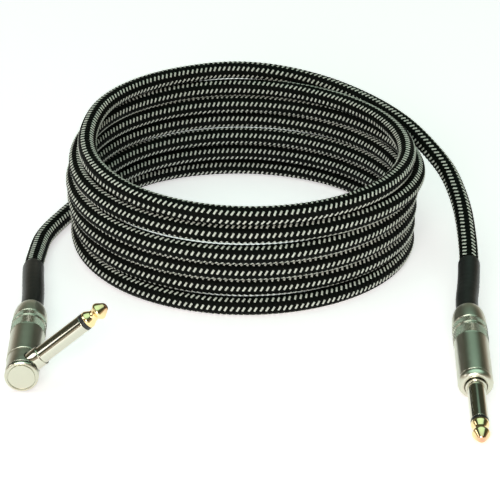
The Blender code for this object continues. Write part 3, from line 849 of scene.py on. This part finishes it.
class CABLE_OT_sleeves(bpy.types.Operator):
    """Build the heat-shrunk sleeves where the cord leaves the plugs"""
    bl_idname = "cable.sleeves"
    bl_label = "Shrink Sleeves"

    def execute(self, context):
        sleeve = context.scene.cable_sleeve
        rubber = moulded("shrink rubber", tuple(sleeve.rubber), 0.42, 2400.0)
        for side, line in (("straight", CORD_LINE[::-1]), ("angle", CORD_LINE)):
            length = SLEEVE_HIDDEN + BODIES[side]["sleeve"]
            stations = np.linspace(0.0006, length - 0.0006, SLEEVE_STATIONS)
            start = NUT_LENGTH - SLEEVE_HIDDEN + CORD_START
            outer, inner = sleeve.radius, SLEEVE_BORE
            waves = [outer + 0.00003 * math.sin(9.0 * k) + 0.00004 * math.sin(2.3 * k)
                     for k in range(SLEEVE_STATIONS)]
            outline = [(start + 0.0002, inner), (start, inner + 0.0001), (start, outer - 0.0003),
                       (start + 0.0001, outer - 0.0001), (start + 0.0004, outer)]
            outline += [(start + float(s), r) for s, r in zip(stations, waves)]
            end = start + length
            outline += [(end - 0.0003, outer - 0.00003), (end - 0.0001, outer - 0.0001), (end, outer - 0.00025),
                        (end, inner + 0.0001), (end - 0.0002, inner)]
            outline += [(start + float(s), inner) for s in stations[::-1]] + [outline[0]]
            mesh = swept(line[:60], outline, 48)
            joined(mesh)
            piece(side + "_sleeve_tube", smooth(mesh, 40.0), rubber, ROOT,
                  (side + "_shrink_sleeve",))
        return {"FINISHED"}


class CABLE_OT_shells(bpy.types.Operator):
    """Build the two barrels and their knurled bands"""
    bl_idname = "cable.shells"
    bl_label = "Barrels"

    def execute(self, context):
        plug = context.scene.cable_plug
        tooth, tree = tooth_object(), knurl_tree()
        for side, sizes in BODIES.items():
            front, back = sizes["shell"], sizes["shell"] + sizes["length"]
            band = back - BAND_LENGTH
            base = plug.knurl_radius - KNURL_DEPTH
            outline = ((plug.shell_radius - 0.0002, front), (0.0056, front), (0.0056, back),
                       (base - 0.0002, back), (base + BAND_LIP, back - 0.00025), (base + BAND_LIP, back - 0.00045),
                       (base, back - 0.00055), (base, band + 0.0005), (base + BAND_LIP, band + 0.0004),
                       (base + BAND_LIP, band + 0.0001), (plug.shell_radius, band - 0.00005),
                       (plug.shell_radius, front + 0.0002))
            body = side + "_shell_body"
            piece(side + "_barrel", turned(outline, PLACES[side]), satin(), body,
                  (side + "_shell",))
            knurl_piece(side, "_barrel_knurl", body, tree, tooth, 11, band + 0.0004, BAND_LENGTH - 0.0009)
        bpy.data.objects.remove(tooth)
        return {"FINISHED"}


class CABLE_OT_nuts(bpy.types.Operator):
    """Build the two gland nuts, with their knurls and threads"""
    bl_idname = "cable.nuts"
    bl_label = "Gland Nuts"

    def execute(self, context):
        plug = context.scene.cable_plug
        tooth, knurls, threads = tooth_object(), knurl_tree(), thread_tree()
        for side, sizes in BODIES.items():
            front = sizes["shell"] + sizes["length"] + NUT_GAP
            band, rim = front + 0.0035, front + NUT_LENGTH
            taper = rim - band
            base = plug.knurl_radius - KNURL_DEPTH
            outline = ((base - 0.0001, front), (SPIGOT_R, front), (SPIGOT_R, front - 0.0042),
                       (0.00475, front - 0.0042), (0.00475, front + 0.005), (0.0045, front + 0.006),
                       (0.0045, rim), (0.00485, rim), *((radius, rim - part * taper) for radius, part in NUT_TAPER),
                       (0.0064, band + 0.0002), (0.0062, band + 0.0001), (0.0062, band - 0.0001),
                       (base + BAND_LIP, band - 0.0002), (base, band - 0.0003),
                       (base, front + 0.0004), (base + BAND_LIP, front + 0.0003))
            body = side + "_nut_body"
            piece(side + "_nut", turned(outline, PLACES[side], 0.00012), satin(), body,
                  (side + "_gland_nut",))
            knurl_piece(side, "_nut_knurl", body, knurls, tooth, 5, front + 0.0003, 0.0029)
            thread_piece(side, "_nut_thread", body, threads, 4.5, front - 0.0039)
        bpy.data.objects.remove(tooth)
        return {"FINISHED"}


class CABLE_OT_contacts(bpy.types.Operator):
    """Build the shafts: gold tips, black rings and nickel sleeves"""
    bl_idname = "cable.contacts"
    bl_label = "Contacts"

    def execute(self, context):
        plug = context.scene.cable_plug
        gold = tip_gold("plated gold", tuple(plug.gold))
        black = moulded("black insulator", (0.012, 0.012, 0.012), 0.35, 1800.0)
        end = -SHAFT_LENGTH
        sizes = (("straight_", "straight", 0.0073, 0.0120, (-0.0009, -0.0003)),
                 ("angle_", "angle_shaft", 0.0046, 0.0069, (0.0, 0.0046)))
        for prefix, frame_name, back, rod_end, (low, high) in sizes:
            place = PLACES[frame_name]
            tip = [(radius, end + back_by) for radius, back_by in TIP_OUTLINE] + [(ROD_R, rod_end), (0.0, rod_end)]
            piece(prefix + "gold_tip", turned(tip, place, 0.0001), gold, ROOT, (prefix + "tip_rod",))
            ring = ((ROD_R + 0.0003, end + 0.009), (TIP_R, end + 0.009), (TIP_R, end + 0.0103),
                    (ROD_R + 0.0003, end + 0.0103))
            piece(prefix + "black_ring", turned(ring, place, 0.00012), black, ROOT,
                  (prefix + "tip_insulator",))
            start = end + 0.0104
            shaft = [(SHAFT_R, start), (0.0022, start), (0.0022, back), (SHAFT_R, back)]
            if high < back:
                shaft += [(SHAFT_R, high), (0.00375, high), (0.00375, low), (SHAFT_R, low)]
            else:
                shaft = shaft[:3] + [(0.00375, back), (0.00375, low), (SHAFT_R, low)]
            piece(prefix + "shaft", turned(shaft, place, 0.00012), bright(), ROOT,
                  (prefix + "sleeve",))
        return {"FINISHED"}


class CABLE_OT_fronts(bpy.types.Operator):
    """Build the straight plug's flange and the right-angle plug's corner and cap"""
    bl_idname = "cable.fronts"
    bl_label = "Flange And Corner"

    def execute(self, context):
        threads = thread_tree()
        flange = ((SHAFT_R + 0.0003, 0.0012), (SHAFT_R + 0.0003, 0.0076), (SPIGOT_R - 0.0003, 0.0076),
                  (SPIGOT_R, 0.0073), (SPIGOT_R, 0.0026), (0.0063, 0.0026), (0.0063, 0.0020), (0.00622, 0.0015),
                  (0.0060, 0.00095), (0.00565, 0.00045), (0.0052, 0.00012), (0.0048, 0.0), (0.0041, 0.0),
                  (0.0040, 0.0010))
        dull = turned_metal("flange nickel", (0.70, 0.68, 0.57), 0.30, 0.01, 5000.0)
        piece("straight_flange", turned(flange, PLACES["straight"], 0.0001), dull, ROOT,
              ("straight_plug_base",))
        corner = ((0.0046, -0.0042), (0.0046, 0.0102), (SPIGOT_R - 0.0002, 0.0102), (SPIGOT_R, 0.0099),
                  (SPIGOT_R, 0.0052), (0.0058, 0.0052), (0.006, 0.0050), (0.006, -0.0035), (0.0054, -0.0036),
                  (0.0054, -0.0042))
        housing = linked("corner_blank", turned(corner, PLACES["angle"]))
        drill = turned(((0.0, 0.0012), (0.00405, 0.0012), (0.00405, 0.0081), (0.0, 0.0081)), PLACES["angle_shaft"])
        cutter = helper("corner_drill", drill)
        cut = housing.modifiers.new("drill", "BOOLEAN")
        cut.object = cutter
        cut.solver = "EXACT"
        drilled = evaluated_mesh(housing)
        bpy.data.objects.remove(housing)
        bpy.data.objects.remove(cutter)
        piece("angle_corner", smooth(drilled, 30.0), satin(), ROOT, ("angle_elbow_housing",))
        # A black ring in the gap where the cap seats on the corner housing: a dark piece put there as painted shade
        # for that gap.
        rubber = moulded("cap gap shade", (0.008, 0.008, 0.007), 0.5, 1800.0, Specular_IOR_Level=0.15)
        gap_shade_ring = ((0.0050, -0.0044), (0.0050, -0.0042), (0.00545, -0.0042), (0.00545, -0.0037), (0.0059, -0.0036),
                  (0.00592, -0.0042), (0.0058, -0.0044))
        piece("angle_cap_gasket", turned(gap_shade_ring, PLACES["angle"], 0.00005), rubber, ROOT)
        seat = -0.0045
        cap = ((0.0, -0.0030), (0.0041, -0.0030), (0.0041, seat), (0.0059, seat), (0.00605, seat - 0.0002),
               (0.0060, seat - 0.0005), (0.0058, seat - 0.00075), (0.0053, seat - 0.00095), (0.00506, seat - 0.001),
               (0.00502, seat - 0.0005), (0.00468, seat - 0.0005), (0.00464, seat - 0.001), (0.0, seat - 0.001))
        nickel = turned_metal("cap nickel", (0.66, 0.64, 0.53), 0.2, 0.03, 5000.0)
        piece("angle_cap", turned(cap, PLACES["angle"], 0.00006), nickel, ROOT, ("angle_end_cap",))
        for side, low in (("straight", 0.0033), ("angle", 0.0059)):
            thread_piece(side, "_front_thread", ROOT, threads, 5.0, low)
        return {"FINISHED"}


class CABLE_OT_inside(bpy.types.Operator):
    """Finish the pieces inside the plugs"""
    bl_idname = "cable.inside"
    bl_label = "Inner Pieces"

    def execute(self, context):
        plated = plain_metal("plated tag", (0.74, 0.72, 0.66), 0.25, 900.0)
        gold = plain_metal("gold lug", (0.95, 0.70, 0.32), 0.22, 900.0)
        copper = plain_metal("bare copper", (0.78, 0.38, 0.22), 0.32, 2500.0)
        black = moulded("black nylon", (0.016, 0.016, 0.017), 0.45, 1500.0)
        liner = moulded("liner plastic", (0.30, 0.31, 0.30), 0.4, 1200.0)
        core = moulded("core plastic", (0.55, 0.08, 0.05), 0.4, 1500.0)
        looks = {"rod_insulator": black, "rear_washer": black, "solder_cup": gold, "tip_lug": gold,
                 "ground_lug": plated, "core_insulation": core, "core_conductor": copper, "shield_pigtail": copper,
                 "shell_liner": liner, "cable_chuck": black}
        for name, node in frame["nodes"].items():
            for ending, material in looks.items():
                if name.endswith(ending):
                    for slot in node.material_slots:
                        slot.material = material
        return {"FINISHED"}


class CABLE_OT_stage(bpy.types.Operator):
    """Set the floor, the light and the camera"""
    bl_idname = "cable.stage"
    bl_label = "Stage"

    def execute(self, context):
        stage = context.scene.cable_stage
        scene = context.scene
        scene.view_settings.view_transform = "Standard"
        mesh = bpy.data.meshes.new("floor")
        mesh.from_pydata([(-4, -3, -5e-5), (4, -3, -5e-5), (4, 6, -5e-5), (-4, 6, -5e-5)], [], [(0, 1, 2, 3)])
        floor = linked("floor", mesh)
        look = Look("pale floor", tuple(stage.floor), 0.7, Emission_Color=(1.0, 1.0, 1.0, 1.0),
                    Emission_Strength=0.54)
        look.tint(look.noise(look.place("Object"), 6.0, 2.0), shade(stage.floor, 0.985), tuple(stage.floor))
        mesh.materials.append(look.material)
        lights = (("overhead", (0.0, -0.05, 0.8), (0.0, 0.05, 0.0), 0.9, 0.7, stage.overhead, (0.85, 1.0, 0.95)),
                  ("front", (-0.3, -1.75, 0.80), (0.0, 0.08, 0.02), 0.9, 0.9, stage.fill, (1.0, 0.97, 0.92)),
                  ("side", (-0.8, -0.25, 0.42), (-0.05, 0.0, 0.02), 0.6, 0.17, stage.fill * 0.04, (1.0, 0.99, 0.95)))
        for name, place, target, width, depth, power, colour in lights:
            lamp = bpy.data.lights.new(name, "AREA")
            lamp.shape = "RECTANGLE"
            lamp.size, lamp.size_y = width, depth
            lamp.energy = power
            lamp.color = colour
            made = linked(name, lamp)
            made.location = place
            made.rotation_euler = (Vector(target) - Vector(place)).to_track_quat("-Z", "Y").to_euler()
        world = bpy.data.worlds.new("studio")
        world.use_nodes = True
        nodes, links = world.node_tree.nodes, world.node_tree.links
        spread = nodes.new("ShaderNodeSeparateXYZ")
        links.new(nodes.new("ShaderNodeTexCoord").outputs["Generated"], spread.inputs[0])
        ramp = nodes.new("ShaderNodeValToRGB")
        stops = ramp.color_ramp.elements
        while len(stops) < len(STUDIO_BANDS):
            stops.new(0.5)
        for stop, (position, colour) in zip(stops, STUDIO_BANDS):
            stop.position = position
            stop.color = (*colour, 1.0)
        links.new(spread.outputs["Z"], ramp.inputs["Fac"])
        links.new(ramp.outputs["Color"], nodes["Background"].inputs["Color"])
        nodes["Background"].inputs["Strength"].default_value = 1.0
        scene.world = world
        lens = bpy.data.cameras.new("camera")
        lens.lens, lens.sensor_width = CAMERA_LENS, 36.0
        lens.clip_start, lens.clip_end = 0.01, 50.0
        camera = linked("camera", lens)
        ahead = Vector((0.0, math.cos(CAMERA_DOWN), -math.sin(CAMERA_DOWN)))
        level = Vector((1.0, 0.0, 0.0))
        above = level.cross(ahead)
        right = level * math.cos(CAMERA_ROLL) + above * math.sin(CAMERA_ROLL)
        upward = above * math.cos(CAMERA_ROLL) - level * math.sin(CAMERA_ROLL)
        camera.matrix_world = Matrix.Translation(CAMERA_AT) @ Matrix((right, upward, -ahead)).transposed().to_4x4()
        scene.camera = camera
        return {"FINISHED"}


class CABLE_PT_panel(bpy.types.Panel):
    """The cable's settings and pieces"""
    bl_idname = "CABLE_PT_panel"
    bl_label = "Instrument Cable"
    bl_space_type = "VIEW_3D"
    bl_region_type = "UI"
    bl_category = "Cable"

    def draw(self, context):
        scene = context.scene
        for title, group in (("Cord", scene.cable_cord), ("Plugs", scene.cable_plug),
                             ("Sleeves", scene.cable_sleeve), ("Stage", scene.cable_stage)):
            box = self.layout.box()
            box.label(text=title)
            for field in group.__annotations__:
                box.prop(group, field)
        for step in STEPS:
            self.layout.operator(step.bl_idname)


GROUPS = {"cable_cord": CordSettings, "cable_plug": PlugSettings, "cable_sleeve": SleeveSettings,
          "cable_stage": StageSettings}
STEPS = (CABLE_OT_stage, CABLE_OT_cord, CABLE_OT_sleeves, CABLE_OT_shells, CABLE_OT_nuts, CABLE_OT_contacts,
         CABLE_OT_fronts, CABLE_OT_inside)


def register():
    """Registers the classes and the settings."""
    for name, group in GROUPS.items():
        bpy.utils.register_class(group)
        setattr(bpy.types.Scene, name, PointerProperty(type=group))
    for step in STEPS:
        bpy.utils.register_class(step)
    bpy.utils.register_class(CABLE_PT_panel)


def unregister():
    """Takes the classes and the settings away."""
    bpy.utils.unregister_class(CABLE_PT_panel)
    for step in reversed(STEPS):
        bpy.utils.unregister_class(step)
    for name, group in GROUPS.items():
        delattr(bpy.types.Scene, name)
        bpy.utils.unregister_class(group)


def main():
    """Builds the whole cable."""
    register()
    for step in STEPS:
        family, action = step.bl_idname.split(".")
        getattr(getattr(bpy.ops, family), action)()
    bpy.context.view_layer.update()


if __name__ == "__main__":
    main()
